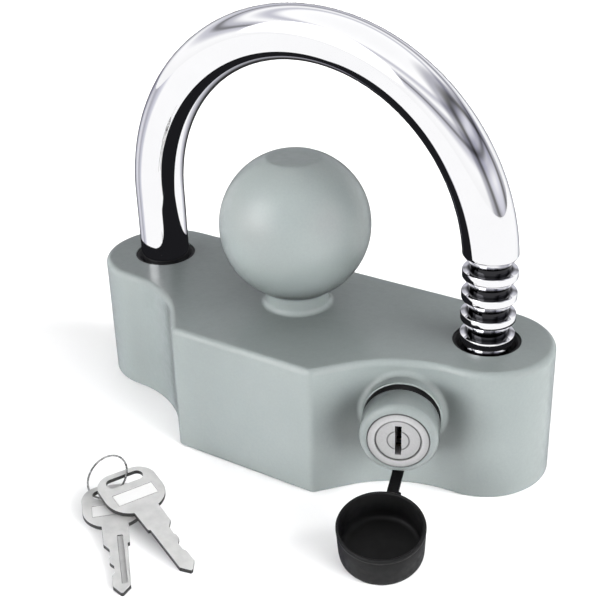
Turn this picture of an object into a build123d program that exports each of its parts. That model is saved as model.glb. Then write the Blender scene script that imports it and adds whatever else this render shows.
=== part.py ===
from build123d import *
import os
from math import sin, cos, tan, radians, degrees, sqrt, pi

os.makedirs("parts", exist_ok=True)

# ----------------------------------------------------------------- dimensions (mm)
leg_x = 59.5            # half spacing of the two shackle legs
rod_r = 8.0             # shackle rod radius
arch_r = 59.5           # centre-line radius of the shackle's arch
arch_z = 65.3           # height of the arch's centre
leg_end_z = 24.8        # lower end of both legs, shackle drawn up
pitch = 6.8             # ratchet pitch
tooth_tops = [65.1 - i * pitch for i in range(6)]
band_h = 2.2            # full-diameter band of a tooth
taper_h = 2.7           # taper below the band
groove_r = 5.9          # ratchet groove radius

body_h = 42.0
end_r = 20.0            # rounded ends round the legs
flank_r = 36.0          # concave flank radius
flank_y = 56.0          # flank arc centre, in front of the legs
nose_x = 24.67          # half width of the nose's front face
nose_y = 41.5           # front face
top_fillet = 1.8
base_fillet = 0.8
corner_fillet = 2.5

ball_r = 23.0
ball_c = (-1.5, -7.0, 68.1)
ball_flat_r = 8.2
neck_r = 10.0
neck_fillet = 1.5

bore_r = 8.3            # leg bores
bore_floor = 3.5
seal_r = 10.0
seal_h = 5.4
seal_top = 41.6
seal_bore_r = 8.08

barrel_deg = 23.5       # barrel axis, turned from straight ahead
face = (51.55, -38.65, 26.5)    # centre of the lock's face
boss_r = 11.3
boss_w = -12.0          # boss front
head_r = 11.1
head_w = -9.2           # back of the collar's head
head_fillet = 2.2
shank_r = 8.6
shank_w = -24.0
shell_r = 7.0
shell_flange_r = 8.85
shell_w = -24.5
plug_r = 5.6
plug_face_r = 6.4
keyway_w = 1.8
keyway_h = 9.4
wafer_t = 1.0
wafer_pitch = 3.2
wafer_w0 = -5.0
wafer_count = 5
wafer_wide = 5.0

cam_pin_r = 1.3
cam_throw = 4.5
cam_r = 6.3
pawl_w0, pawl_w1 = -34.0, -30.5
pawl_tip_u = 10.24
leg_u = 22.7            # right leg, across the barrel's axis

cap_r = 12.2
cap_in_r = 11.25
cap_h = 11.38
cap_depth = 9.5
strap_w = 3.4
strap_t = 1.0

key_t = 1.4
slot_l = 11.4
slot_w = 3.9
ring_r = 6.8
wire_r = 0.3

# ----------------------------------------------------------------- working planes
ax = Vector(sin(radians(barrel_deg)), -cos(radians(barrel_deg)), 0)     # outward
ux = Vector(cos(radians(barrel_deg)), sin(radians(barrel_deg)), 0)      # towards the right leg
barrel = Plane(origin=face, x_dir=ux, z_dir=ax)     # x across, y up, z outward
side = Plane(origin=face, x_dir=ax, z_dir=-ux)      # x outward, y up


def at(u, y, w):
    return Vector(*face) + ux * u + Vector(0, 0, y) + ax * w


def rims(built, r, centre):
    return [e for e in built.edges().filter_by(GeomType.CIRCLE)
            if abs(e.radius - r) < 0.01 and (e.arc_center - Vector(centre)).length < 0.06]


# ----------------------------------------------------------------- cast body
a140 = (leg_x + flank_r * cos(radians(140)), -flank_y + flank_r * sin(radians(140)))
with BuildPart() as lock_body:
    with BuildSketch(Plane.XY):
        with BuildLine():
            Line((-nose_x, -nose_y), (nose_x, -nose_y))
            Line((nose_x, -nose_y), a140)
            CenterArc((leg_x, -flank_y), flank_r, 90, 50)
            CenterArc((leg_x, 0), end_r, -90, 180)
            Line((leg_x, end_r), (-leg_x, end_r))
            CenterArc((-leg_x, 0), end_r, 90, 180)
            CenterArc((-leg_x, -flank_y), flank_r, 40, 50)
            Line((-a140[0], a140[1]), (-nose_x, -nose_y))
        make_face()
    extrude(amount=body_h)
    corners = [e for e in lock_body.edges().filter_by(Axis.Z) if e.center().Y < -nose_y + 0.5]
    fillet(corners, corner_fillet)
    fillet(lock_body.faces().sort_by(Axis.Z)[-1].edges(), top_fillet)
    chamfer(lock_body.faces().sort_by(Axis.Z)[0].edges(), 0.5)
    # ball on its neck, turned as one profile
    with BuildSketch(Plane(origin=(ball_c[0], ball_c[1], 0), x_dir=(1, 0, 0), z_dir=(0, -1, 0))):
        with BuildLine():
            low_z = ball_c[2] - sqrt(ball_r ** 2 - 10.9 ** 2)
            top_z = ball_c[2] + sqrt(ball_r ** 2 - 9.0 ** 2)
            flat_z = ball_c[2] + sqrt(ball_r ** 2 - ball_flat_r ** 2)
            Polyline((neck_r + neck_fillet, body_h), (neck_r + neck_fillet, body_h - 1), (0, body_h - 1),
                     (0, flat_z), (ball_flat_r - 0.7, flat_z))
            ThreePointArc((ball_flat_r - 0.7, flat_z), (ball_flat_r + 0.1, flat_z - 0.08), (9.0, top_z))
            ThreePointArc((9.0, top_z), (ball_r, ball_c[2]), (10.9, low_z))
            ThreePointArc((10.9, low_z), (10.2, low_z - 0.6), (neck_r, low_z - 1.5))
            Line((neck_r, low_z - 1.5), (neck_r, body_h + neck_fillet))
            ThreePointArc((neck_r, body_h + neck_fillet),
                          (neck_r + neck_fillet * 0.2929, body_h + neck_fillet * 0.2929),
                          (neck_r + neck_fillet, body_h))
        make_face()
    revolve(axis=Axis((ball_c[0], ball_c[1], 0), (0, 0, 1)))
    # lock boss on the right flank
    with BuildSketch(barrel.offset(boss_w)):
        Circle(boss_r)
    extrude(amount=-13)
    fillet([e for e in lock_body.edges().filter_by(GeomType.BSPLINE)
            if 60 < e.length < 85 and (e.center() - at(0, 0, -16)).length < 16], 1.5)
    fillet(rims(lock_body, boss_r, at(0, 0, boss_w)), 0.5)
    # leg bores and seal seats
    with BuildSketch(Plane.XY.offset(bore_floor)):
        with Locations((leg_x, 0), (-leg_x, 0)):
            Circle(bore_r)
    extrude(amount=body_h, mode=Mode.SUBTRACT)
    with BuildSketch(Plane.XY.offset(seal_top - seal_h)):
        with Locations((leg_x, 0), (-leg_x, 0)):
            Circle(seal_r)
    extrude(amount=body_h, mode=Mode.SUBTRACT)
    # barrel bore
    with BuildSketch(barrel.offset(1)):
        Circle(shank_r + 0.03)
    extrude(amount=-27.5, mode=Mode.SUBTRACT)
    # mechanism cavity, open underneath
    with BuildSketch(Plane(origin=at(0, -face[2], 0), x_dir=ux, z_dir=(0, 0, 1))):
        with Locations((-1.5, 30.5)):
            Rectangle(19, 11.5)
    extrude(amount=34.5, mode=Mode.SUBTRACT)
    # pawl channel into the right bore, and the spring pocket
    with BuildSketch(barrel.offset(pawl_w1 + 0.25)):
        with Locations((12, 0)):
            Rectangle(12, 4.4)
        with Locations((-12.5, -2.5)):
            Rectangle(7, 5)
    extrude(amount=-4.0, mode=Mode.SUBTRACT)
    # cover seat and its screw holes
    with BuildSketch(Plane(origin=at(0, -face[2], 0), x_dir=ux, z_dir=(0, 0, 1))):
        with Locations((-2, 32.0)):
            Rectangle(28.6, 18.6)
    extrude(amount=2.6, mode=Mode.SUBTRACT)
    with BuildSketch(Plane(origin=at(0, -face[2], 0), x_dir=ux, z_dir=(0, 0, 1))):
        with Locations((-13.7, 25.3), (9.7, 25.3), (-13.7, 38.7), (9.7, 38.7)):
            Circle(1.28)
    extrude(amount=10, mode=Mode.SUBTRACT)
    # sleeve set-screw hole
    with BuildSketch(Plane(origin=at(0, -face[2], 0), x_dir=ux, z_dir=(0, 0, 1))):
        with Locations((0, 20.0)):
            Circle(2.03)
    extrude(amount=20, mode=Mode.SUBTRACT)
lock_body.part.label = "lock_body"
export_step(lock_body.part, "parts/lock_body.step")

# ----------------------------------------------------------------- shackle
with BuildPart() as shackle:
    with BuildLine():
        Line((-leg_x, 0, leg_end_z), (-leg_x, 0, arch_z))
        ThreePointArc((-leg_x, 0, arch_z), (0, 0, arch_z + arch_r), (leg_x, 0, arch_z))
        Line((leg_x, 0, arch_z), (leg_x, 0, leg_end_z))
    with BuildSketch(Plane((-leg_x, 0, leg_end_z), z_dir=(0, 0, 1))):
        Circle(rod_r)
    sweep()
    # ratchet grooves on the right leg
    with BuildSketch(Plane(origin=(leg_x, 0, 0), x_dir=(1, 0, 0), z_dir=(0, -1, 0))):
        for zt in [t + pitch for t in tooth_tops[:1]] + tooth_tops:
            lo = zt - pitch
            with BuildLine():
                Polyline((groove_r, lo), (rod_r + 1, lo), (rod_r + 1, zt - band_h),
                         (rod_r, zt - band_h), (groove_r, zt - band_h - taper_h), (groove_r, lo))
            make_face()
    revolve(axis=Axis((leg_x, 0, 0), (0, 0, 1)), mode=Mode.SUBTRACT)
    chamfer([e for e in shackle.edges().filter_by(GeomType.CIRCLE) if abs(e.arc_center.Z - leg_end_z) < 0.01], 0.8)
shackle.part.label = "shackle"
export_step(shackle.part, "parts/shackle.step")

# ----------------------------------------------------------------- leg seals
with BuildPart() as left_seal:
    with BuildSketch(Plane.XY.offset(seal_top - seal_h)):
        with Locations((-leg_x, 0)):
            Circle(seal_r - 0.02)
            Circle(seal_bore_r, mode=Mode.SUBTRACT)
    extrude(amount=seal_h)
    chamfer(rims(left_seal, seal_bore_r, (-leg_x, 0, seal_top)), 1.0)
left_seal.part.label = "left_seal"
export_step(left_seal.part, "parts/left_seal.step")

with BuildPart() as right_seal:
    with BuildSketch(Plane.XY.offset(seal_top - seal_h)):
        with Locations((leg_x, 0)):
            Circle(seal_r - 0.02)
            Circle(seal_bore_r, mode=Mode.SUBTRACT)
    extrude(amount=seal_h)
    chamfer(rims(right_seal, seal_bore_r, (leg_x, 0, seal_top)), 1.0)
right_seal.part.label = "right_seal"
export_step(right_seal.part, "parts/right_seal.step")

# ----------------------------------------------------------------- collar: head and shank
with BuildPart() as lock_sleeve:
    with BuildSketch(barrel):
        Circle(head_r)
    extrude(amount=head_w)
    with BuildSketch(barrel.offset(head_w)):
        Circle(shank_r)
    extrude(amount=shank_w - head_w)
    fillet(rims(lock_sleeve, head_r, at(0, 0, 0)), head_fillet)
    with BuildSketch(barrel.offset(1)):
        Circle(shell_r + 0.03)
    extrude(amount=-30, mode=Mode.SUBTRACT)
    with BuildSketch(barrel.offset(1)):
        Circle(shell_flange_r + 0.03)
    extrude(amount=-2.3, mode=Mode.SUBTRACT)
    with BuildSketch(Plane(origin=at(0, -face[2], 0), x_dir=ux, z_dir=(0, 0, 1))):
        with Locations((0, 20.0)):
            Circle(2.05)
    extrude(amount=20, mode=Mode.SUBTRACT)
lock_sleeve.part.label = "lock_sleeve"
export_step(lock_sleeve.part, "parts/lock_sleeve.step")

with BuildPart() as sleeve_screw:
    with BuildSketch(Plane(origin=at(0, 8.5 - face[2], -20.0), x_dir=ux, z_dir=(0, 0, 1))):
        Circle(2.0)
    extrude(amount=10.7)
    with BuildSketch(Plane(origin=at(0, 8.5 - face[2], -20.0), x_dir=ux, z_dir=(0, 0, 1))):
        RegularPolygon(1.1, 6)
    extrude(amount=2.5, mode=Mode.SUBTRACT)
sleeve_screw.part.label = "sleeve_screw"
export_step(sleeve_screw.part, "parts/sleeve_screw.step")

# ----------------------------------------------------------------- cylinder shell
with BuildPart() as cylinder_shell:
    with BuildSketch(barrel.offset(0.1)):
        Circle(shell_flange_r)
    extrude(amount=-1.35)
    with BuildSketch(barrel.offset(-1.25)):
        Circle(shell_r)
    extrude(amount=shell_w + 1.25)
    fillet(rims(cylinder_shell, shell_flange_r, at(0, 0, 0.1)), 0.35)
    with BuildSketch(barrel.offset(1)):
        Circle(plug_r + 0.05)
    extrude(amount=-30, mode=Mode.SUBTRACT)
    with BuildSketch(barrel.offset(1)):
        Circle(plug_face_r + 0.05)
    extrude(amount=-2.5, mode=Mode.SUBTRACT)
    with BuildSketch(barrel.offset(-3)):
        with Locations((0, 0)):
            Rectangle(wafer_wide + 0.4, 13.0)
            Rectangle(13.0, wafer_wide + 0.4)
            Circle(plug_r - 1, mode=Mode.SUBTRACT)
    extrude(amount=-22, mode=Mode.SUBTRACT)
cylinder_shell.part.label = "cylinder_shell"
export_step(cylinder_shell.part, "parts/cylinder_shell.step")

# ----------------------------------------------------------------- plug
with BuildPart() as lock_plug:
    with BuildSketch(barrel.offset(-0.15)):
        Circle(plug_face_r)
    extrude(amount=-1.25)
    with BuildSketch(barrel.offset(-1.4)):
        Circle(plug_r)
    extrude(amount=-24.8)
    with BuildSketch(barrel.offset(-26.2)):
        Rectangle(5, 5)
    extrude(amount=-2.05)
    fillet(rims(lock_plug, plug_face_r, at(0, 0, -0.15)), 0.3)
    # clip groove
    with BuildSketch(barrel.offset(-24.6)):
        Circle(plug_r + 1)
        Circle(4.85, mode=Mode.SUBTRACT)
    extrude(amount=-0.8, mode=Mode.SUBTRACT)
    # shallow ring round the keyway
    with BuildSketch(barrel.offset(0)):
        Circle(3.2)
        Circle(2.9, mode=Mode.SUBTRACT)
    extrude(amount=-0.3, mode=Mode.SUBTRACT)
    # keyway
    with BuildSketch(barrel.offset(0)):
        Rectangle(keyway_w, keyway_h)
    extrude(amount=-22.5, mode=Mode.SUBTRACT)
    # wafer slots with a spring pocket beside each
    for i in range(wafer_count):
        with BuildSketch(barrel.offset(wafer_w0 - i * wafer_pitch + wafer_t / 2 + 0.08)):
            Rectangle(wafer_wide + 0.16, 12)
            with Locations((3.2, 0.4)):
                Rectangle(1.5, 6.2)
        extrude(amount=-(wafer_t + 0.16), mode=Mode.SUBTRACT)
    # cam screw hole
    with BuildSketch(barrel.offset(-29)):
        Circle(1.03)
    extrude(amount=4.5, mode=Mode.SUBTRACT)
lock_plug.part.label = "lock_plug"
export_step(lock_plug.part, "parts/lock_plug.step")


# ----------------------------------------------------------------- wafers
def wafer_block(i):
    w = wafer_w0 - i * wafer_pitch
    with BuildPart() as wafer:
        with BuildSketch(barrel.offset(w + wafer_t / 2)):
            Circle(plug_r - 0.05)
            Rectangle(wafer_wide, 12, mode=Mode.INTERSECT)
            with Locations((3.1, 1.95)):
                Rectangle(1.2, 0.8)
            Rectangle(2.3, 8.6, mode=Mode.SUBTRACT)
        extrude(amount=-wafer_t)
    return wafer


wafer_1 = wafer_block(0)
wafer_1.part.label = "wafer_1"
export_step(wafer_1.part, "parts/wafer_1.step")
wafer_2 = wafer_block(1)
wafer_2.part.label = "wafer_2"
export_step(wafer_2.part, "parts/wafer_2.step")
wafer_3 = wafer_block(2)
wafer_3.part.label = "wafer_3"
export_step(wafer_3.part, "parts/wafer_3.step")
wafer_4 = wafer_block(3)
wafer_4.part.label = "wafer_4"
export_step(wafer_4.part, "parts/wafer_4.step")
wafer_5 = wafer_block(4)
wafer_5.part.label = "wafer_5"
export_step(wafer_5.part, "parts/wafer_5.step")

with BuildPart() as wafer_springs:
    for i in range(wafer_count):
        w = wafer_w0 - i * wafer_pitch
        c = at(3.2, -2.4, w)
        with BuildLine() as coil_line:
            coil = Helix(pitch=0.8, height=3.6, radius=0.38, center=c, direction=(0, 0, 1))
        with BuildSketch(Plane(origin=coil @ 0, z_dir=coil % 0)):
            Circle(0.1)
        sweep(path=coil_line.line)
wafer_springs.part.label = "wafer_springs"
export_step(wafer_springs.part, "parts/wafer_springs.step")

with BuildPart() as plug_clip:
    with BuildSketch(barrel.offset(-24.7)):
        Circle(6.9)
        Circle(4.9, mode=Mode.SUBTRACT)
        with Locations((0, 6)):
            Rectangle(5, 6, mode=Mode.SUBTRACT)
    extrude(amount=-0.6)
plug_clip.part.label = "plug_clip"
export_step(plug_clip.part, "parts/plug_clip.step")

# ----------------------------------------------------------------- cam, its screw, pawl, spring
pin_u = -cam_throw * sin(radians(45))
pin_y = -cam_throw * cos(radians(45))
with BuildPart() as cam:
    with BuildSketch(barrel.offset(-26.3)):
        Circle(cam_r)
        Rectangle(5.06, 5.06, mode=Mode.SUBTRACT)
    extrude(amount=-2.0)
    with BuildSketch(barrel.offset(-28.3)):
        with Locations((pin_u, pin_y)):
            Circle(cam_pin_r)
    extrude(amount=-5.2)
cam.part.label = "cam"
export_step(cam.part, "parts/cam.step")

with BuildPart() as cam_screw:
    with BuildSketch(barrel.offset(-28.45)):
        Circle(1.0)
    extrude(amount=3.8)
    with BuildSketch(barrel.offset(-28.45)):
        Circle(2.75)
    extrude(amount=-1.5)
    with BuildSketch(barrel.offset(-29.95)):
        Rectangle(3.6, 0.7)
        Rectangle(0.7, 3.6)
    extrude(amount=0.8, mode=Mode.SUBTRACT)
cam_screw.part.label = "cam_screw"
export_step(cam_screw.part, "parts/cam_screw.step")

with BuildPart() as pawl:
    with BuildSketch(barrel.offset(pawl_w1)):
        with BuildLine():
            Polyline((-8.2, -7.6), (-0.2, -7.6), (1.4, -1.9), (pawl_tip_u, -1.9), (pawl_tip_u, -0.5),
                     (pawl_tip_u - 1.9, 1.9), (1.4, 1.9), (-0.2, 3.0), (-8.2, 3.0), (-8.2, -7.6))
        make_face()
        with Locations((pin_u, -3.9)):
            SlotCenterToCenter(2.4, 2 * (cam_pin_r + 0.16), rotation=90, mode=Mode.SUBTRACT)
    extrude(amount=pawl_w0 - pawl_w1)
pawl.part.label = "pawl"
export_step(pawl.part, "parts/pawl.step")

with BuildPart() as pawl_spring:
    with BuildLine() as spring_line:
        spring_path = Helix(pitch=1.5, height=6.6, radius=1.5, center=at(-8.6, -2.5, -32.25), direction=-ux)
    with BuildSketch(Plane(origin=spring_path @ 0, z_dir=spring_path % 0)):
        Circle(0.3)
    sweep(path=spring_line.line)
pawl_spring.part.label = "pawl_spring"
export_step(pawl_spring.part, "parts/pawl_spring.step")

# ----------------------------------------------------------------- bottom cover and screws
under = Plane(origin=at(0, -face[2], 0), x_dir=ux, z_dir=(0, 0, 1))
screw_xy = [(-13.7, 25.3), (9.7, 25.3), (-13.7, 38.7), (9.7, 38.7)]
with BuildPart() as bottom_cover:
    with BuildSketch(under.offset(0.4)):
        with Locations((-2, 32.0)):
            Rectangle(28.4, 18.4)
        with Locations(*screw_xy):
            Circle(1.45, mode=Mode.SUBTRACT)
    extrude(amount=2.2)
    chamfer([e for e in bottom_cover.edges().filter_by(GeomType.CIRCLE)
             if abs(e.radius - 1.45) < 0.01 and abs(e.arc_center.Z - 0.4) < 0.01], 0.9)
bottom_cover.part.label = "bottom_cover"
export_step(bottom_cover.part, "parts/bottom_cover.step")

with BuildPart() as cover_screws:
    for x, y in screw_xy:
        p = under.from_local_coords((x, y, 0.5))
        with BuildSketch(Plane(origin=p, x_dir=ux, z_dir=(0, 0, 1))):
            Circle(2.2)
        extrude(amount=0.9, taper=45)
        with BuildSketch(Plane(origin=p, x_dir=ux, z_dir=(0, 0, 1))):
            Circle(1.25)
        extrude(amount=8.5)
        with BuildSketch(Plane(origin=p, x_dir=ux, z_dir=(0, 0, 1))):
            Rectangle(2.4, 0.6)
            Rectangle(0.6, 2.4)
        extrude(amount=0.7, mode=Mode.SUBTRACT)
cover_screws.part.label = "cover_screws"
export_step(cover_screws.part, "parts/cover_screws.step")

# ----------------------------------------------------------------- tether ring with the strap's fixed half
hinge_p = Vector(52.35, -44.43, 12.10)
with BuildPart() as tether_ring:
    with BuildSketch(barrel.offset(head_w - 0.05)):
        Circle(11.15)
        Circle(shank_r + 0.05, mode=Mode.SUBTRACT)
    extrude(amount=boss_w - head_w + 0.1)
    with BuildSketch(Plane(origin=at(-0.8, 0, 0) + ux * (strap_w / 2), x_dir=ax, z_dir=-ux)):
        with BuildLine():
            Polyline((-11.3, -10.2), (-11.3, -14.4), (4.8, -14.6), (4.8, -13.6), (-10.0, -13.4), (-10.0, -10.2), (-11.3, -10.2))
        make_face()
    extrude(amount=strap_w)
tether_ring.part.label = "tether_ring"
export_step(tether_ring.part, "parts/tether_ring.step")

# ----------------------------------------------------------------- dust cap, open and mouth up
tip_deg = 11.7
cap_n = ax * sin(radians(tip_deg)) + Vector(0, 0, cos(radians(tip_deg)))
cap_m = Vector(*face) + ux * -2.6 + ax * 20.6 + Vector(0, 0, -13.3)
pm = hinge_p - cap_m
pr = pm - cap_n * pm.dot(cap_n)
cap_e = pr.normalized()
cap_mouth = Plane(origin=cap_m, x_dir=cap_e, z_dir=cap_n)
cap_side = Plane(origin=cap_m, x_dir=cap_e, z_dir=cap_e.cross(cap_n))
with BuildPart() as dust_cap:
    with BuildSketch(cap_side):
        with BuildLine():
            Polyline((0, -cap_h), (9.7, -cap_h), (11.35, -cap_h + 0.42), (11.7, -cap_h + 1.1), (11.85, -cap_h + 2.4), (cap_r, -0.5),
                     (cap_r - 0.2, 0), (cap_in_r + 0.2, 0), (cap_in_r, -0.4), (cap_in_r, -cap_depth + 1.0),
                     (cap_in_r - 1.0, -cap_depth), (0, -cap_depth), (0, -cap_h))
        make_face()
    revolve(axis=Axis(cap_m, cap_n))
dust_cap.part.label = "dust_cap"
export_step(dust_cap.part, "parts/dust_cap.step")

ph = pm.dot(cap_n)
prr = pr.length
with BuildPart() as cap_link:
    with BuildSketch(cap_side.offset(-strap_w / 2)):
        with BuildLine():
            Polyline((12.32, -0.3), (13.25, -0.3), (13.25, ph + 0.5), (prr + 0.2, ph + 0.5), (prr + 0.45, ph + 0.2),
                     (prr + 0.45, ph - 0.3), (prr + 0.2, ph - 0.5), (12.32, ph - 0.5), (12.32, -0.3))
        make_face()
    extrude(amount=strap_w)
cap_link.part.label = "cap_link"
export_step(cap_link.part, "parts/cap_link.step")


# ----------------------------------------------------------------- keys and their ring
def key_plane(slot, slot_z, tip, tip_z=0.8):
    d = Vector(tip[0] - slot[0], tip[1] - slot[1], tip_z - slot_z).normalized()
    y = Vector(0, 0, 1).cross(d).normalized()
    return Plane(origin=(slot[0], slot[1], slot_z), x_dir=d, z_dir=d.cross(y))


def key_block(pl, m, front):
    """m is the bitted side, front is +1 when the grooved face is up."""
    with BuildPart() as key:
        with BuildSketch(pl.offset(-key_t / 2)):
            with BuildLine():
                ThreePointArc((-3.9, 3.4 * m), (-2.2, 7.3 * m), (1.8, 9.0 * m))
                Line((1.8, 9.0 * m), (6.8, 9.0 * m))
                ThreePointArc((6.8, 9.0 * m), (11.3, 7.5 * m), (14.2, 3.9 * m))
                Polyline((14.2, 3.9 * m), (21.7, 3.9 * m), (24.0, 2.35 * m), (26.9, 2.25 * m), (27.5, 2.65 * m),
                         (29.4, 2.65 * m), (31.0, 1.5 * m), (33.4, 1.6 * m), (34.6, 2.25 * m), (38.8, 2.35 * m),
                         (41.5, 0.5 * m), (41.7, -0.2 * m), (39.2, -2.4 * m), (22.6, -2.8 * m), (22.3, -3.4 * m),
                         (14.2, -3.7 * m))
                ThreePointArc((14.2, -3.7 * m), (11.3, -7.5 * m), (6.8, -9.0 * m))
                Line((6.8, -9.0 * m), (1.8, -9.0 * m))
                ThreePointArc((1.8, -9.0 * m), (-2.2, -7.3 * m), (-3.9, -3.4 * m))
                Line((-3.9, -3.4 * m), (-3.9, 3.4 * m))
            make_face()
            SlotOverall(slot_l, slot_w, rotation=90, mode=Mode.SUBTRACT)
        extrude(amount=key_t)
        # lengthwise groove milled in the blade, recessed panel on both faces of the bow
        with BuildSketch(pl.offset(front * (key_t / 2 - 0.45))):
            with Locations((28.4, -0.9 * m)):
                Rectangle(19.4, 1.5)
        extrude(amount=front, mode=Mode.SUBTRACT)
        with BuildSketch(pl.offset(key_t / 2 - 0.15)):
            with Locations((7.2, 0)):
                Rectangle(4.8, 12.5)
        extrude(amount=1, mode=Mode.SUBTRACT)
    return key


k1_slot, k1_tip = (-23.485, -75.311), (5.957, -105.44)
k2_slot, k2_tip = (-21.812, -71.221), (15.054, -88.118)
k1_plane = key_plane(k1_slot, 2.86, k1_tip)
k2_plane = key_plane(k2_slot, 5.89, k2_tip, 0.95)
key_1 = key_block(k1_plane, -1, 1)
key_1.part.label = "key_1"
export_step(key_1.part, "parts/key_1.step")
key_2 = key_block(k2_plane, 1, -1)
key_2.part.label = "key_2"
export_step(key_2.part, "parts/key_2.step")

ring_tilt = 36.2
chord = Vector(0.9832, -0.1827, 0).normalized()
ring_c = Vector(-28.41, -71.57, 5.19)
ring_y = Vector(-chord.Y, chord.X, 0) * cos(radians(ring_tilt)) + Vector(0, 0, sin(radians(ring_tilt)))
ring_plane = Plane(origin=ring_c, x_dir=chord, z_dir=chord.cross(ring_y))
with BuildPart() as key_ring:
    with BuildLine(ring_plane):
        CenterArc((0, 0), ring_r, 0, 360)
    with BuildSketch(Plane(origin=ring_c + chord * ring_r, x_dir=chord, z_dir=ring_y)):
        Circle(wire_r)
    sweep()
key_ring.part.label = "key_ring"
export_step(key_ring.part, "parts/key_ring.step")
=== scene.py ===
import bpy
import bmesh
import math
from math import sin, cos, tan, radians, sqrt, pi
from mathutils import Vector, Matrix


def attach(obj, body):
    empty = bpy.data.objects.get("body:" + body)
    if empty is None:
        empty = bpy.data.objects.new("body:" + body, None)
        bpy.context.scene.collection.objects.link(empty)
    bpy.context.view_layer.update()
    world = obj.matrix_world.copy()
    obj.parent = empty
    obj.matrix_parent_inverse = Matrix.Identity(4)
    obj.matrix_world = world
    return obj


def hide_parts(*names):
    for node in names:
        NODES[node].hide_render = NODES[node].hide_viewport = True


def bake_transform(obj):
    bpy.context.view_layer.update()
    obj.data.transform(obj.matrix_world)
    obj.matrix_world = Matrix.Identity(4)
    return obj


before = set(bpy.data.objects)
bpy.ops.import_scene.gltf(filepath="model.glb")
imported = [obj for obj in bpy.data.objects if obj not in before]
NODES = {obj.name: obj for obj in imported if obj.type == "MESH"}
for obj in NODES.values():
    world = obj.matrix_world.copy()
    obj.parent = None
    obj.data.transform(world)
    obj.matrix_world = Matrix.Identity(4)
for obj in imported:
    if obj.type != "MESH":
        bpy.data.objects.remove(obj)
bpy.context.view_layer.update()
MM = 0.001

# ------------------------------------------------------------------ frame of the part (mm)
LEG = 59.5
ROD = 7.97
ARCH_Z = 65.3
FACE = Vector((51.55, -38.65, 26.5))
AX = Vector((sin(radians(23.5)), -cos(radians(23.5)), 0))
UX = Vector((cos(radians(23.5)), sin(radians(23.5)), 0))
ZZ = Vector((0, 0, 1))


def loc(u, y, w):
    return FACE + UX * u + ZZ * y + AX * w


# ------------------------------------------------------------------ mesh helpers
def new_object(name, verts, faces, smooth=True, angle=35.0):
    me = bpy.data.meshes.new(name)
    me.from_pydata([tuple(Vector(v) * MM) for v in verts], [], faces)
    me.validate()
    ob = bpy.data.objects.new(name, me)
    bpy.context.scene.collection.objects.link(ob)
    bm = bmesh.new()
    bm.from_mesh(me)
    bmesh.ops.recalc_face_normals(bm, faces=bm.faces)
    for f in bm.faces:
        f.smooth = smooth
    if smooth:
        for e in bm.edges:
            if len(e.link_faces) == 2 and e.calc_face_angle(0.0) > radians(angle):
                e.smooth = False
    bm.to_mesh(me)
    bm.free()
    return ob


def lathe(name, profile, origin, axis, segs=128, angle=35.0):
    """Closed profile [(r, h), ...] turned about axis through origin."""
    axis = Vector(axis).normalized()
    ref = Vector((0, 0, 1)) if abs(axis.z) < 0.9 else Vector((1, 0, 0))
    a = axis.cross(ref).normalized()
    b = axis.cross(a).normalized()
    verts, faces = [], []
    rings = []
    for r, h in profile:
        if r < 1e-6:
            rings.append([len(verts)])
            verts.append(Vector(origin) + axis * h)
        else:
            ids = []
            for k in range(segs):
                t = 2 * pi * k / segs
                ids.append(len(verts))
                verts.append(Vector(origin) + axis * h + (a * cos(t) + b * sin(t)) * r)
            rings.append(ids)
    n = len(rings)
    closed = profile[0][0] > 1e-6 or profile[-1][0] > 1e-6
    last = n if closed else n - 1
    for i in range(last):
        p, q = rings[i], rings[(i + 1) % n]
        if len(p) == 1 and len(q) == 1:
            continue
        for k in range(segs):
            k2 = (k + 1) % segs
            if len(p) == 1:
                faces.append((p[0], q[k], q[k2]))
            elif len(q) == 1:
                faces.append((p[k], p[k2], q[0]))
            else:
                faces.append((p[k], p[k2], q[k2], q[k]))
    return new_object(name, verts, faces, True, angle)


def arc_pts(cx, cy, r, a0, a1, n):
    return [(cx + r * cos(radians(a0 + (a1 - a0) * i / n)), cy + r * sin(radians(a0 + (a1 - a0) * i / n)))
            for i in range(n + 1)]


def tube(name, stations, segs=72, angle=35.0):
    """stations: [(point, tangent, side, radius), ...]; closed at both ends."""
    verts, faces, rings = [], [], []
    for p, t, s, r in stations:
        t = Vector(t).normalized()
        s = Vector(s).normalized()
        o = t.cross(s).normalized()
        ids = []
        for k in range(segs):
            a = 2 * pi * k / segs
            ids.append(len(verts))
            verts.append(Vector(p) + (s * cos(a) + o * sin(a)) * r)
        rings.append(ids)
    for i in range(len(rings) - 1):
        p, q = rings[i], rings[i + 1]
        for k in range(segs):
            k2 = (k + 1) % segs
            faces.append((p[k], p[k2], q[k2], q[k]))
    faces.append(tuple(reversed(rings[0])))
    faces.append(tuple(rings[-1]))
    return new_object(name, verts, faces, True, angle)


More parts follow.
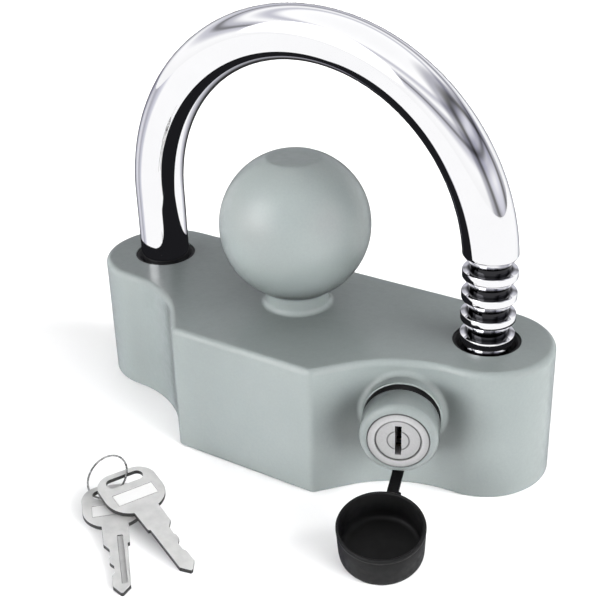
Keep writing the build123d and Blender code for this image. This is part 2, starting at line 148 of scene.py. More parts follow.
def ribbon(name, path, across, width, thick, round_n=4):
    """Flat strap with rounded edges along path (points), across is the width direction."""
    verts, faces, rings = [], [], []
    n = len(path)
    acr = Vector(across).normalized()
    sec = []
    hw, ht = width / 2, thick / 2
    for i in range(round_n + 1):
        a = radians(-90 + 180 * i / round_n)
        sec.append((hw - ht + ht * cos(a), ht * sin(a)))
    for i in range(round_n + 1):
        a = radians(90 + 180 * i / round_n)
        sec.append((-hw + ht + ht * cos(a), ht * sin(a)))
    for i, p in enumerate(path):
        p = Vector(p)
        t = (Vector(path[min(i + 1, n - 1)]) - Vector(path[max(i - 1, 0)])).normalized()
        a = (acr - t * acr.dot(t)).normalized()
        u = t.cross(a).normalized()
        ids = []
        for x, y in sec:
            ids.append(len(verts))
            verts.append(p + a * x + u * y)
        rings.append(ids)
    m = len(sec)
    for i in range(n - 1):
        for k in range(m):
            k2 = (k + 1) % m
            faces.append((rings[i][k], rings[i][k2], rings[i + 1][k2], rings[i + 1][k]))
    faces.append(tuple(reversed(rings[0])))
    faces.append(tuple(rings[-1]))
    return new_object(name, verts, faces, True, 50)


def bezier(p0, p1, p2, p3, n):
    out = []
    for i in range(n + 1):
        t = i / n
        out.append(p0 * (1 - t) ** 3 + p1 * 3 * t * (1 - t) ** 2 + p2 * 3 * t * t * (1 - t) + p3 * t ** 3)
    return out


# ------------------------------------------------------------------ materials
class M:
    """Small helper round a node material."""

    def __init__(self, name):
        self.m = bpy.data.materials.new(name)
        self.m.use_nodes = True
        self.t = self.m.node_tree
        self.n = self.t.nodes
        self.p = self.n["Principled BSDF"]
        self.co = self.n.new("ShaderNodeTexCoord").outputs["Object"]

    def node(self, kind, **kw):
        n = self.n.new(kind)
        for k, v in kw.items():
            if k in n.inputs:
                n.inputs[k].default_value = v
            else:
                setattr(n, k, v)
        return n

    def link(self, a, b):
        self.t.links.new(a, b)

    def noise(self, scale, detail=4, rough=0.5, vec=None, dist=0.0):
        n = self.node("ShaderNodeTexNoise", Scale=scale, Detail=detail, Roughness=rough, Distortion=dist)
        self.link(vec or self.co, n.inputs["Vector"])
        return n.outputs["Fac"]

    def stretch(self, sx, sy, sz, rot=(0, 0, 0)):
        n = self.node("ShaderNodeMapping")
        n.inputs["Scale"].default_value = (sx, sy, sz)
        n.inputs["Rotation"].default_value = rot
        self.link(self.co, n.inputs["Vector"])
        return n.outputs["Vector"]

    def ramp(self, fac, stops):
        n = self.node("ShaderNodeValToRGB")
        cr = n.color_ramp
        cr.elements[0].position, cr.elements[0].color = stops[0][0], (*stops[0][1], 1)
        cr.elements[1].position, cr.elements[1].color = stops[-1][0], (*stops[-1][1], 1)
        for pos, c in stops[1:-1]:
            e = cr.elements.new(pos)
            e.color = (*c, 1)
        self.link(fac, n.inputs["Fac"])
        return n.outputs["Color"]

    def map(self, v, a0, a1, b0, b1):
        n = self.node("ShaderNodeMapRange")
        for k, x in zip(("From Min", "From Max", "To Min", "To Max"), (a0, a1, b0, b1)):
            n.inputs[k].default_value = x
        self.link(v, n.inputs["Value"])
        return n.outputs["Result"]

    def bump(self, height, strength, distance, normal=None):
        n = self.node("ShaderNodeBump", Strength=strength, Distance=distance)
        self.link(height, n.inputs["Height"])
        if normal:
            self.link(normal, n.inputs["Normal"])
        return n.outputs["Normal"]

    def edge(self, radius, samples=6):
        """0 on flats, 1 on convex edges, from the bevel normal."""
        bv = self.node("ShaderNodeBevel", samples=samples, Radius=radius)
        g = self.node("ShaderNodeNewGeometry")
        d = self.node("ShaderNodeVectorMath", operation="DOT_PRODUCT")
        self.link(bv.outputs["Normal"], d.inputs[0])
        self.link(g.outputs["Normal"], d.inputs[1])
        return self.map(d.outputs["Value"], 1.0, 0.93, 0.0, 1.0)

    def set(self, **kw):
        for k, v in kw.items():
            self.p.inputs[k.replace("_", " ")].default_value = v
        return self


FWD = (-0.4903, 0.7365, -0.4663)      # the way the camera looks


def hide_from_mirror(m, amount=1.0):
    """Bright metal sees this surface as a black flag, as in a studio tent."""
    lpn = m.node("ShaderNodeLightPath")
    em = m.node("ShaderNodeEmission", Color=(0.012, 0.012, 0.014, 1), Strength=1.0)
    mixs = m.node("ShaderNodeMixShader")
    fac = m.node("ShaderNodeMath", operation="MULTIPLY")
    fac.inputs[1].default_value = amount
    m.link(lpn.outputs["Is Glossy Ray"], fac.inputs[0])
    m.link(fac.outputs[0], mixs.inputs[0])
    m.link(m.p.outputs[0], mixs.inputs[1])
    m.link(em.outputs[0], mixs.inputs[2])
    m.link(mixs.outputs[0], m.n["Material Output"].inputs["Surface"])


def cast_paint(name, lo, mid, hi, rough=0.40, hide=True):
    m = M(name)
    big = m.noise(26, 3, 0.5)
    fine = m.noise(1500, 3, 0.6)
    col = m.ramp(big, [(0.3, lo), (0.5, mid), (0.72, hi)])
    mix = m.node("ShaderNodeMix", data_type="RGBA", blend_type="MULTIPLY")
    mix.inputs["Factor"].default_value = 0.10
    m.link(col, mix.inputs[6])
    m.link(m.ramp(fine, [(0.35, (0.55, 0.55, 0.55)), (0.65, (1.1, 1.1, 1.1))]), mix.inputs[7])
    m.link(mix.outputs[2], m.p.inputs["Base Color"])
    m.link(m.map(m.noise(420, 2), 0.3, 0.7, rough - 0.04, rough + 0.05), m.p.inputs["Roughness"])
    peel = m.bump(m.noise(620, 2, 0.45), 0.10, 0.0004)
    m.link(m.bump(m.noise(2600, 2, 0.5), 0.06, 0.0001, peel), m.p.inputs["Normal"])
    m.set(Metallic=0.0, Specular_IOR_Level=0.5, Coat_Weight=0.35, Coat_Roughness=0.16)
    if hide:
        hide_from_mirror(m)
    return m.m


def chrome(name, base=(0.93, 0.93, 0.945), rough=0.03):
    m = M(name)
    n = m.noise(60, 4, 0.6)
    plate = m.ramp(n, [(0.3, tuple(c * 0.97 for c in base)), (0.7, base)])
    # Painted shade: inside the ratchet grooves (within about 6.1-6.9 mm of the right leg's axis, below z 69 mm) the
    # plating colour is darkened to near black.
    sep = m.node("ShaderNodeSeparateXYZ")
    m.link(m.co, sep.inputs[0])
    dx = m.node("ShaderNodeMath", operation="SUBTRACT")
    dx.inputs[1].default_value = LEG * MM
    m.link(sep.outputs["X"], dx.inputs[0])
    cmb = m.node("ShaderNodeCombineXYZ")
    m.link(dx.outputs[0], cmb.inputs["X"])
    m.link(sep.outputs["Y"], cmb.inputs["Y"])
    ln = m.node("ShaderNodeVectorMath", operation="LENGTH")
    m.link(cmb.outputs[0], ln.inputs[0])
    groove_shade_in = m.map(ln.outputs["Value"], 0.0061, 0.0069, 1.0, 0.0)
    low = m.map(sep.outputs["Z"], 0.0694, 0.0690, 0.0, 1.0)
    painted_groove_shade = m.node("ShaderNodeMath", operation="MULTIPLY")
    m.link(groove_shade_in, painted_groove_shade.inputs[0])
    m.link(low, painted_groove_shade.inputs[1])
    mix = m.node("ShaderNodeMix", data_type="RGBA")
    m.link(painted_groove_shade.outputs[0], mix.inputs["Factor"])
    m.link(plate, mix.inputs[6])
    mix.inputs[7].default_value = (0.035, 0.035, 0.038, 1)
    m.link(mix.outputs[2], m.p.inputs["Base Color"])
    m.link(m.map(m.noise(300, 5, 0.65), 0.35, 0.7, rough, rough * 2.0), m.p.inputs["Roughness"])
    m.link(m.bump(m.noise(22, 2, 0.4), 0.03, 0.0006), m.p.inputs["Normal"])
    m.set(Metallic=1.0)
    return m.m


def rubber(name):
    m = M(name)
    m.link(m.ramp(m.noise(90, 5, 0.6), [(0.3, (0.002, 0.002, 0.0022)), (0.7, (0.005, 0.005, 0.0053))]), m.p.inputs["Base Color"])
    m.link(m.map(m.noise(500, 3), 0.3, 0.7, 0.42, 0.58), m.p.inputs["Roughness"])
    m.link(m.bump(m.noise(1400, 3, 0.5), 0.12, 0.00015), m.p.inputs["Normal"])
    m.set(Specular_IOR_Level=0.2)
    return m.m


def key_metal(name, slot, along):
    """Stamped nickel: bright faces, painted shade on the side walls (faces with near-horizontal normals go near black)
    and a brighter coined panel on the bow.
    """
    m = M(name)
    d = Vector(along).normalized()
    y = Vector((0, 0, 1)).cross(d).normalized()
    v = m.stretch(300, 2400, 300, (0, 0, -math.atan2(d.y, d.x)))
    g0 = m.noise(1.0, 2, 0.5, v)
    blot = m.noise(260, 3, 0.5)
    face = m.ramp(blot, [(0.3, (0.36, 0.36, 0.357)), (0.7, (0.44, 0.44, 0.434))])
    sub = m.node("ShaderNodeVectorMath", operation="SUBTRACT")
    sub.inputs[1].default_value = tuple(Vector(slot) * MM)
    m.link(m.co, sub.inputs[0])

    def inside(axis, mid, half):
        dot = m.node("ShaderNodeVectorMath", operation="DOT_PRODUCT")
        m.link(sub.outputs[0], dot.inputs[0])
        dot.inputs[1].default_value = tuple(axis)
        off = m.node("ShaderNodeMath", operation="SUBTRACT")
        off.inputs[1].default_value = mid * MM
        m.link(dot.outputs["Value"], off.inputs[0])
        ab = m.node("ShaderNodeMath", operation="ABSOLUTE")
        m.link(off.outputs[0], ab.inputs[0])
        return m.map(ab.outputs[0], half * MM, (half + 0.35) * MM, 1.0, 0.0)

    pan = m.node("ShaderNodeMath", operation="MULTIPLY")
    m.link(inside(d, 7.2, 2.3), pan.inputs[0])
    m.link(inside(y, 0.0, 6.1), pan.inputs[1])
    lift = m.node("ShaderNodeMix", data_type="RGBA")
    m.link(pan.outputs[0], lift.inputs["Factor"])
    m.link(face, lift.inputs[6])
    lift.inputs[7].default_value = (0.60, 0.60, 0.595, 1)
    # Painted shade: where the true normal is close to horizontal (the key's side walls) the base colour goes to near
    # black.
    geo_n = m.node("ShaderNodeNewGeometry")
    sep = m.node("ShaderNodeSeparateXYZ")
    m.link(geo_n.outputs["True Normal"], sep.inputs[0])
    ab = m.node("ShaderNodeMath", operation="ABSOLUTE")
    m.link(sep.outputs["Z"], ab.inputs[0])
    side_wall_shade = m.node("ShaderNodeMix", data_type="RGBA")
    m.link(m.map(ab.outputs[0], 0.35, 0.62, 1.0, 0.0), side_wall_shade.inputs["Factor"])
    m.link(lift.outputs[2], side_wall_shade.inputs[6])
    side_wall_shade.inputs[7].default_value = (0.018, 0.018, 0.018, 1)
    m.link(side_wall_shade.outputs[2], m.p.inputs["Base Color"])
    m.link(m.map(g0, 0.3, 0.7, 0.30, 0.40), m.p.inputs["Roughness"])
    b = m.bump(m.noise(1500, 2, 0.5), 0.03, 0.00004)
    m.link(m.bump(g0, 0.02, 0.00003, b), m.p.inputs["Normal"])
    m.set(Metallic=0.45)
    return m.m


def steel(name, lo=(0.42, 0.42, 0.43), hi=(0.62, 0.62, 0.63), rough=0.34):
    m = M(name)
    m.link(m.ramp(m.noise(160, 4), [(0.3, lo), (0.7, hi)]), m.p.inputs["Base Color"])
    m.link(m.map(m.noise(700, 3), 0.3, 0.7, rough - 0.06, rough + 0.08), m.p.inputs["Roughness"])
    m.link(m.bump(m.noise(1200, 2), 0.08, 0.0001), m.p.inputs["Normal"])
    m.set(Metallic=1.0)
    return m.m


def turned(name, base, rough, rings, grain, metal=1.0):
    """Bright face with fine turning rings about the barrel axis, plus blasted grain; a radial ramp paints shade rings
    near 3.0 and 6.3 mm, near-black shade beyond 8.6 mm and a highlight ring near 6.8 mm.
    """
    m = M(name)
    sub = m.node("ShaderNodeVectorMath", operation="SUBTRACT")
    sub.inputs[1].default_value = tuple(FACE * MM)
    m.link(m.co, sub.inputs[0])
    du = m.node("ShaderNodeVectorMath", operation="DOT_PRODUCT")
    m.link(sub.outputs[0], du.inputs[0])
    du.inputs[1].default_value = tuple(UX)
    dz = m.node("ShaderNodeVectorMath", operation="DOT_PRODUCT")
    m.link(sub.outputs[0], dz.inputs[0])
    dz.inputs[1].default_value = (0, 0, 1)
    cmb = m.node("ShaderNodeCombineXYZ")
    m.link(du.outputs["Value"], cmb.inputs["X"])
    m.link(dz.outputs["Value"], cmb.inputs["Y"])
    ln = m.node("ShaderNodeVectorMath", operation="LENGTH")
    m.link(cmb.outputs[0], ln.inputs[0])
    rv = m.node("ShaderNodeCombineXYZ")
    m.link(ln.outputs["Value"], rv.inputs["X"])
    ringn = m.noise(9000, 2, 0.5, rv.outputs[0])
    gr = m.noise(1800, 4, 0.6)
    # Painted shade and highlight: the radial ramp darkens rings at about 3.0 and 6.3 mm, goes near black beyond 8.6 mm
    # and brightens a ring near 6.8 mm.
    ring_shade_and_highlight = m.ramp(m.map(ln.outputs["Value"], 0.0, 0.010, 0.0, 1.0),
                   [(0.0, (0.92, 0.92, 0.92)), (0.275, (0.92, 0.92, 0.92)), (0.295, (0.35, 0.35, 0.35)), (0.315, (0.45, 0.45, 0.45)),
                    (0.335, (1, 1, 1)), (0.60, (0.96, 0.96, 0.96)), (0.625, (0.30, 0.30, 0.30)), (0.655, (0.45, 0.45, 0.45)),
                    (0.68, (1.15, 1.15, 1.15)), (0.80, (0.95, 0.95, 0.95)), (0.84, (0.85, 0.85, 0.85)), (0.862, (0.15, 0.15, 0.15)),
                    (1.0, (0.12, 0.12, 0.12))])
    grain_c = m.ramp(gr, [(0.32, tuple(c * 0.90 for c in base)), (0.68, base)])
    mul = m.node("ShaderNodeMix", data_type="RGBA", blend_type="MULTIPLY")
    mul.inputs["Factor"].default_value = 1.0
    m.link(grain_c, mul.inputs[6])
    m.link(ring_shade_and_highlight, mul.inputs[7])
    m.link(mul.outputs[2], m.p.inputs["Base Color"])
    m.link(m.map(gr, 0.3, 0.7, rough - 0.05, rough + 0.07), m.p.inputs["Roughness"])
    b = m.bump(ringn, rings, 0.00008)
    m.link(m.bump(gr, grain, 0.0001, b), m.p.inputs["Normal"])
    m.set(Metallic=metal)
    return m.m


MAT = {
    "body": cast_paint("casting_paint", (0.104, 0.119, 0.117), (0.115, 0.131, 0.129), (0.126, 0.142, 0.140), 0.36),
    "collar": cast_paint("collar_paint", (0.085, 0.097, 0.096), (0.097, 0.110, 0.109), (0.108, 0.121, 0.120), 0.33),
    "cover": cast_paint("cover_paint", (0.16, 0.18, 0.18), (0.19, 0.21, 0.21), (0.22, 0.24, 0.24), 0.45),
    "chrome": chrome("shackle_chrome"),
    "bezel": turned("bezel_face", (0.26, 0.26, 0.263), 0.34, 0.30, 0.02, 0.4),
    "plug": turned("plug_face", (0.245, 0.245, 0.248), 0.38, 0.12, 0.06, 0.35),
    "rubber": rubber("black_rubber"),
    "key1": key_metal("key_metal_a", (-23.485, -75.311, 2.86), (29.442, -30.129, -2.06)),
    "key2": key_metal("key_metal_b", (-21.812, -71.221, 5.89), (36.866, -16.897, -4.94)),
    "wire": steel("ring_wire", (0.22, 0.22, 0.22), (0.36, 0.36, 0.36), 0.25),
    "steel": steel("zinc_steel"),
    # Painted shade: the wafers are brass, but their colour is darkened to near black so the keyway reads as dark shade.
    "brass_in_painted_shade": steel("wafer_brass", (0.055, 0.042, 0.02), (0.085, 0.065, 0.032), 0.55),
}


def paint(ob, mat):
    ob.data.materials.clear()
    ob.data.materials.append(MAT[mat])
    return ob


NODE_MAT = {
    "lock_body": "body", "shackle": "chrome", "left_seal": "rubber", "right_seal": "rubber", "lock_sleeve": "collar",
    "sleeve_screw": "steel", "cylinder_shell": "bezel", "lock_plug": "plug", "wafer_1": "brass_in_painted_shade", "wafer_2": "brass_in_painted_shade",
    "wafer_3": "brass_in_painted_shade", "wafer_4": "brass_in_painted_shade", "wafer_5": "brass_in_painted_shade", "wafer_springs": "steel", "plug_clip": "steel",
    "cam": "steel", "cam_screw": "steel", "pawl": "steel", "pawl_spring": "steel", "bottom_cover": "cover",
    "cover_screws": "steel", "tether_ring": "rubber", "cap_link": "rubber", "dust_cap": "rubber", "key_1": "key1",
    "key_2": "key2", "key_ring": "wire"}
for n, o in NODES.items():
    paint(o, NODE_MAT[n])

# ------------------------------------------------------------------ shackle
teeth = [65.1 - i * 6.8 for i in range(6)]
LEG_END = 24.8


def leg_profile():
    """(z, r) down the ratchet leg, from above the first groove to the chamfered end."""
    pts = []
    tops = [teeth[0] + 6.8] + teeth
    for i, zt in enumerate(tops):
        if i > 0:
            pts += [(zt + 0.12, 5.9), (zt + 0.02, 5.98), (zt, 6.1), (zt, 7.70), (zt - 0.06, 7.88), (zt - 0.28, ROD)]
        pts += [(zt - 2.05, ROD), (zt - 2.2, ROD - 0.03), (zt - 2.34, ROD - 0.12), (zt - 4.75, 6.02), (zt - 4.95, 5.9)]
    pts = [p for p in pts if p[0] > LEG_END + 0.9]
    pts += [(LEG_END + 0.7, 5.9), (LEG_END + 0.15, 5.35), (LEG_END, 5.1)]
    return pts


st = []
st.append(((-LEG, 0, LEG_END), (0, 0, 1), (0, 1, 0), ROD - 0.8))
st.append(((-LEG, 0, LEG_END + 0.25), (0, 0, 1), (0, 1, 0), ROD - 0.45))
st.append(((-LEG, 0, LEG_END + 0.9), (0, 0, 1), (0, 1, 0), ROD))
for i in range(1, 13):
    st.append(((-LEG, 0, LEG_END + 0.9 + (ARCH_Z - LEG_END - 0.9) * i / 12), (0, 0, 1), (0, 1, 0), ROD))
NA = 180
prof = leg_profile()
z_cut = prof[0][0]
for i in range(1, NA):
    a = pi * i / NA
    p = (-LEG * cos(a), 0, ARCH_Z + LEG * sin(a))
    if a > pi / 2 and p[2] < z_cut + 0.4:
        break
    st.append((p, (LEG * sin(a), 0, LEG * cos(a)), (0, 1, 0), ROD))
for z, r in prof:
    if z > ARCH_Z:
        a = pi - math.asin((z - ARCH_Z) / LEG)
        x = -LEG * cos(a)
    else:
        x = LEG
    st.append(((x, 0, z), (0, 0, -1), (0, 1, 0), r))
shackle = tube("shackle_smooth", st, 80, 30)
paint(shackle, "chrome")
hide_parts("shackle")
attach(shackle, "shackle_bow")

# ------------------------------------------------------------------ collar (turned, with a rolled front edge)
prof = [(8.6, -24.0), (8.6, -9.2), (10.8, -9.2), (11.0, -9.13), (11.1, -8.95)]
prof += [(11.1 - 2.2 + 2.2 * cos(radians(a)), -2.2 + 2.2 * sin(radians(a))) for a in range(0, 91, 9)]
prof += [(8.88, -0.12), (8.88, -1.3), (7.03, -1.3), (7.03, -24.0)]
collar = lathe("collar_turned", prof, FACE, AX, 160)
paint(collar, "collar")
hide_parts("lock_sleeve")
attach(collar, "lock")

# ------------------------------------------------------------------ dust cap and strap
TIP = radians(11.7)
CAP_N = AX * sin(TIP) + ZZ * cos(TIP)
CAP_M = FACE + UX * -2.6 + AX * 20.6 + ZZ * -13.3
HINGE = Vector((52.35, -44.43, 12.10))
pm = HINGE - CAP_M
CAP_E = (pm - CAP_N * pm.dot(CAP_N)).normalized()
prof = [(0, -11.38), (9.3, -11.38), (10.3, -11.27), (10.95, -11.06), (11.35, -10.75), (11.6, -10.3), (11.7, -9.8),
        (11.8, -8.9), (11.98, -4.6), (12.08, -1.9), (12.0, -1.55), (12.02, -1.35), (12.17, -1.15), (12.2, -0.5),
        (12.1, -0.15), (11.9, 0.0), (11.55, 0.0), (11.36, -0.1), (11.27, -0.4), (11.25, -6.0), (11.2, -8.0),
        (11.0, -8.9), (10.4, -9.35), (9.6, -9.5), (0, -9.5)]
cap = lathe("cap_moulded", prof, CAP_M, CAP_N, 160, 60)
paint(cap, "rubber")
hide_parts("dust_cap")
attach(cap, "cap")

ring_prof = [(8.65, -11.9), (8.65, -9.25), (10.85, -9.25), (11.07, -9.35), (11.15, -9.6), (11.15, -11.55),
             (11.07, -11.8), (10.85, -11.9)]
tring = lathe("tether_ring_moulded", ring_prof, FACE, AX, 128)
paint(tring, "rubber")
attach(tring, "lock")

P = HINGE - FACE
pu, pw, pz = P.dot(UX), P.dot(AX), P.z
OFF = 0.55
pathA = bezier(loc(0, -10.3, -10.6), loc(0, -13.3, -10.8), loc(0.1, -14.1, -9.4), loc(OFF - 0.9, -14.15, -5.0), 14)
pathA += bezier(loc(OFF - 0.9, -14.15, -5.0), loc(OFF - 1.1, -14.2, -1.5), loc(pu + OFF + 0.1, pz - 0.05, pw - 3.4), loc(pu + OFF, pz, pw), 14)[1:]
strapA = ribbon("strap_fixed_half", pathA, UX, 3.4, 1.0)
paint(strapA, "rubber")
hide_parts("tether_ring")
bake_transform(strapA)
q0 = HINGE + UX * OFF
SIDE = CAP_N.cross(CAP_E).normalized()
if SIDE.dot(UX) < 0:
    SIDE = -SIDE
RIM_D = (CAP_E * cos(radians(8.0)) + SIDE * sin(radians(8.0))).normalized()
rim = CAP_M + RIM_D * 12.62
q3 = rim - CAP_N * 0.7
dirA = (loc(pu, pz, pw) - loc(pu + 0.1, pz - 0.05, pw - 3.4)).normalized()
pathB = bezier(q0 - dirA * 0.15, q0 + dirA * 1.6, q3 - CAP_N * 2.6, q3, 16)
strapB = ribbon("strap_swing_half", pathB, UX, 3.4, 1.0)
paint(strapB, "rubber")
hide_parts("cap_link")
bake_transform(strapB)

# ------------------------------------------------------------------ key ring
chord = Vector((0.9832, -0.1827, 0)).normalized()
tilt = radians(36.2)
RR = 6.8
WIRE = 0.3
rc = Vector((-28.41, -71.57, 5.19))
ry = Vector((-chord.y, chord.x, 0)) * cos(tilt) + ZZ * sin(tilt)
rn = chord.cross(ry).normalized()
verts, faces = [], []
NR, NS = 128, 16
for i in range(NR):
    a = 2 * pi * i / NR
    d = chord * cos(a) + ry * sin(a)
    for k in range(NS):
        b = 2 * pi * k / NS
        verts.append(rc + d * (RR + WIRE * cos(b)) + rn * WIRE * sin(b))
for i in range(NR):
    for k in range(NS):
        i2, k2 = (i + 1) % NR, (k + 1) % NS
        faces.append((i * NS + k, i * NS + k2, i2 * NS + k2, i2 * NS + k))
kring = new_object("ring_wire_loop", verts, faces)
paint(kring, "wire")
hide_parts("key_ring")
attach(kring, "ring")

# ------------------------------------------------------------------ micro-bevels on the stamped and machined CAD pieces
for n in ("key_1", "key_2", "pawl", "cam", "bottom_cover", "cylinder_shell", "lock_plug"):
    o = NODES[n]
    wd = o.modifiers.new("weld", "WELD")
    wd.merge_threshold = 0.000004
    bv = o.modifiers.new("bevel", "BEVEL")
    bv.width = 0.00022 if n.startswith("key") else 0.00008
    bv.segments = 2
    bv.limit_method = "ANGLE"
    bv.angle_limit = radians(40)
    bv.harden_normals = False

# ------------------------------------------------------------------ floor, light, camera
def chain(tree, fac, stops, interp="EASE"):
    n = tree.nodes.new("ShaderNodeValToRGB")
    n.color_ramp.interpolation = interp
    cr = n.color_ramp
    cr.elements[0].position, cr.elements[0].color = stops[0][0], (*stops[0][1], 1)
    cr.elements[1].position, cr.elements[1].color = stops[-1][0], (*stops[-1][1], 1)
    for pos, c in stops[1:-1]:
        e = cr.elements.new(pos)
        e.color = (*c, 1)
    tree.links.new(fac, n.inputs["Fac"])
    return n.outputs["Color"]


def look(tree, incoming, d):
    """0..1, 1 when the ray runs along d."""
    n = tree.nodes.new("ShaderNodeVectorMath")
    n.operation = "DOT_PRODUCT"
    n.inputs[1].default_value = d
    tree.links.new(incoming, n.inputs[0])
    m = tree.nodes.new("ShaderNodeMath")
    m.operation = "MULTIPLY_ADD"
    m.inputs[1].default_value = -0.5
    m.inputs[2].default_value = 0.5
    tree.links.new(n.outputs["Value"], m.inputs[0])
    return m.outputs["Value"]


def combine(tree, a, b, mode="MULTIPLY", fac=1.0):
    n = tree.nodes.new("ShaderNodeMix")
    n.data_type = "RGBA"
    n.blend_type = mode
    if isinstance(fac, float):
        n.inputs["Factor"].default_value = fac
    else:
        tree.links.new(fac, n.inputs["Factor"])
    tree.links.new(a, n.inputs[6])
    tree.links.new(b, n.inputs[7])
    return n.outputs[2]


def g(v, tint=0.0):
    return (v, v, v * (1 + tint))


EDGE = [(0.0, g(1.0)), (0.80, g(1.0)), (0.87, g(0.62, 0.08)), (0.93, g(0.30, 0.10)), (0.965, g(0.05)), (1.0, g(0.02))]

bpy.ops.mesh.primitive_plane_add(size=8, location=(0, 0, -0.00002))
floor = bpy.context.object
floor.name = "floor"
fm = M("floor_white")
fm.link(fm.ramp(fm.noise(3, 2), [(0.3, (0.73, 0.73, 0.735)), (0.7, (0.75, 0.75, 0.755))]), fm.p.inputs["Base Color"])
fm.set(Roughness=0.95, Specular_IOR_Level=0.0)
# Painted reflection: glossy rays see the floor as a glowing white sheet with a dark band and lavender-grey bands set by
# the ray direction, not its lit colour.
flp = fm.node("ShaderNodeLightPath")
fgeo = fm.node("ShaderNodeNewGeometry")
sees = look(fm.t, fgeo.outputs["Incoming"], FWD)
edge = chain(fm.t, sees, EDGE)
side = look(fm.t, fgeo.outputs["Incoming"], (-0.95, 0.1, -0.3))
lav = chain(fm.t, side, [(0.0, g(1)), (0.88, g(1)), (0.93, g(0.62, 0.12)), (0.97, g(0.42, 0.14)), (1.0, g(0.8, 0.05))])
fem = fm.node("ShaderNodeEmission", Strength=1.05)
fm.link(combine(fm.t, edge, lav), fem.inputs["Color"])
fmix = fm.node("ShaderNodeMixShader")
fm.link(flp.outputs["Is Glossy Ray"], fmix.inputs[0])
fm.link(fm.p.outputs[0], fmix.inputs[1])
fm.link(fem.outputs[0], fmix.inputs[2])
fm.link(fmix.outputs[0], fm.n["Material Output"].inputs["Surface"])
floor.data.materials.append(fm.m)

world = bpy.data.worlds.new("studio")
bpy.context.scene.world = world
world.use_nodes = True
world.cycles.sampling_method = "NONE"
wt = world.node_tree
wt.nodes.clear()
out = wt.nodes.new("ShaderNodeOutputWorld")
geo = wt.nodes.new("ShaderNodeNewGeometry")
lp = wt.nodes.new("ShaderNodeLightPath")
inc = geo.outputs["Incoming"]
up = look(wt, inc, (0, 0, 1))
# light that falls on the painted casting: soft overhead, bright low softbox from the front left
base = chain(wt, up, [(0.0, g(0.5)), (0.5, g(0.38)), (0.7, g(0.62)), (1.0, g(0.88))])
lobe = chain(wt, look(wt, inc, (-0.66, -0.74, 0.08)), [(0.0, g(0)), (0.82, g(0)), (0.95, g(1.0)), (1.0, g(1.0))])
band = chain(wt, up, [(0.0, g(0)), (0.40, g(0)), (0.46, g(1)), (0.60, g(1)), (0.68, g(0)), (1.0, g(0))])
lobe = combine(wt, lobe, band)
gain = wt.nodes.new("ShaderNodeVectorMath")
gain.operation = "SCALE"
gain.inputs["Scale"].default_value = 30.0
wt.links.new(lobe, gain.inputs[0])
lobe2 = chain(wt, look(wt, inc, (0.99, -0.05, 0.12)), [(0.0, g(0)), (0.92, g(0)), (0.975, g(1.0)), (1.0, g(1.0))])
gain2 = wt.nodes.new("ShaderNodeVectorMath")
gain2.operation = "SCALE"
gain2.inputs["Scale"].default_value = 22.0
wt.links.new(lobe2, gain2.inputs[0])
diff = combine(wt, combine(wt, base, gain.outputs[0], "ADD"), gain2.outputs[0], "ADD")
# what bright metal and the paint's gloss see: a white tent with grey and lavender flags
tent = chain(wt, up, [(0.0, g(1)), (0.50, g(1.0)), (0.60, g(1.05)), (0.68, g(0.62, 0.10)), (0.715, g(0.22, 0.06)),
                      (0.75, g(0.55, 0.10)), (0.80, g(1.05)), (0.86, g(0.62, 0.1)), (0.90, g(1.1)), (1.0, g(1.05))])
edge = chain(wt, look(wt, inc, FWD), EDGE)
rightf = chain(wt, look(wt, inc, (0.9, 0.2, 0.35)), [(0.0, g(1)), (0.80, g(1)), (0.88, g(0.45, 0.1)), (0.93, g(0.16)), (0.97, g(0.7, 0.1)), (1.0, g(1))])
gloss = combine(wt, combine(wt, tent, edge), rightf)
hot = chain(wt, look(wt, inc, (-0.40, -0.80, 0.45)), [(0.0, g(0)), (0.955, g(0)), (0.975, g(1.0)), (1.0, g(1.0))])
hotg = wt.nodes.new("ShaderNodeVectorMath")
hotg.operation = "SCALE"
hotg.inputs["Scale"].default_value = 3.0
wt.links.new(hot, hotg.inputs[0])
gloss = combine(wt, gloss, hotg.outputs[0], "ADD")
bg = wt.nodes.new("ShaderNodeBackground")
white = wt.nodes.new("ShaderNodeRGB")
white.outputs[0].default_value = (1.2, 1.2, 1.2, 1)
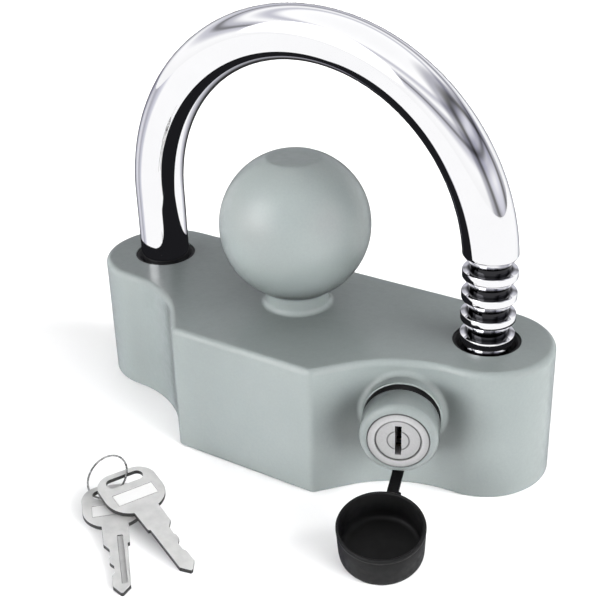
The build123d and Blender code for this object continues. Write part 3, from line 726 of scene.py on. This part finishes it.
mixed = combine(wt, diff, gloss, "MIX", lp.outputs["Is Glossy Ray"])
mixed = combine(wt, mixed, white.outputs[0], "MIX", lp.outputs["Is Camera Ray"])
wt.links.new(mixed, bg.inputs["Color"])
wt.links.new(bg.outputs[0], out.inputs["Surface"])


def area(name, at, target, sx, sy, energy, color=(1, 1, 1), glossy=True):
    ld = bpy.data.lights.new(name, "AREA")
    ld.shape = "RECTANGLE"
    ld.size, ld.size_y = sx, sy
    ld.energy = energy
    ld.color = color
    ob = bpy.data.objects.new(name, ld)
    bpy.context.scene.collection.objects.link(ob)
    ob.location = at
    ob.rotation_mode = "QUATERNION"
    ob.rotation_quaternion = (Vector(target) - Vector(at)).to_track_quat("-Z", "Y")
    ob.visible_glossy = glossy
    ob.visible_camera = False
    return ob


area("high_right_back", (0.75, 0.30, 0.55), (0, 0, 0.03), 0.22, 0.22, 4.0, glossy=False)

# camera
F_PX, EL, YAW, ROLL = 1192.17314, 0.485128515, 0.587534752, -0.030799093
CAM = Vector((181.246329, -280.106113, 215.278739))
fw = Vector((-sin(YAW) * cos(EL), cos(YAW) * cos(EL), -sin(EL)))
rt = Vector((cos(YAW), sin(YAW), 0))
upv = rt.cross(fw)
r2 = rt * cos(ROLL) + upv * sin(ROLL)
u2 = rt * -sin(ROLL) + upv * cos(ROLL)
cd = bpy.data.cameras.new("camera")
cam = bpy.data.objects.new("camera", cd)
bpy.context.scene.collection.objects.link(cam)
cd.sensor_fit = "HORIZONTAL"
cd.sensor_width = 36.0
cd.lens = F_PX / 600.0 * 36.0
cd.clip_start, cd.clip_end = 0.01, 20.0
mat = Matrix((
    (r2.x, u2.x, -fw.x, CAM.x * MM),
    (r2.y, u2.y, -fw.y, CAM.y * MM),
    (r2.z, u2.z, -fw.z, CAM.z * MM),
    (0, 0, 0, 1)))
cam.matrix_world = mat
bpy.context.scene.camera = cam
bpy.context.scene.view_settings.view_transform = "Standard"
bpy.context.scene.view_settings.look = "None"
bpy.context.scene.view_settings.exposure = 0.0
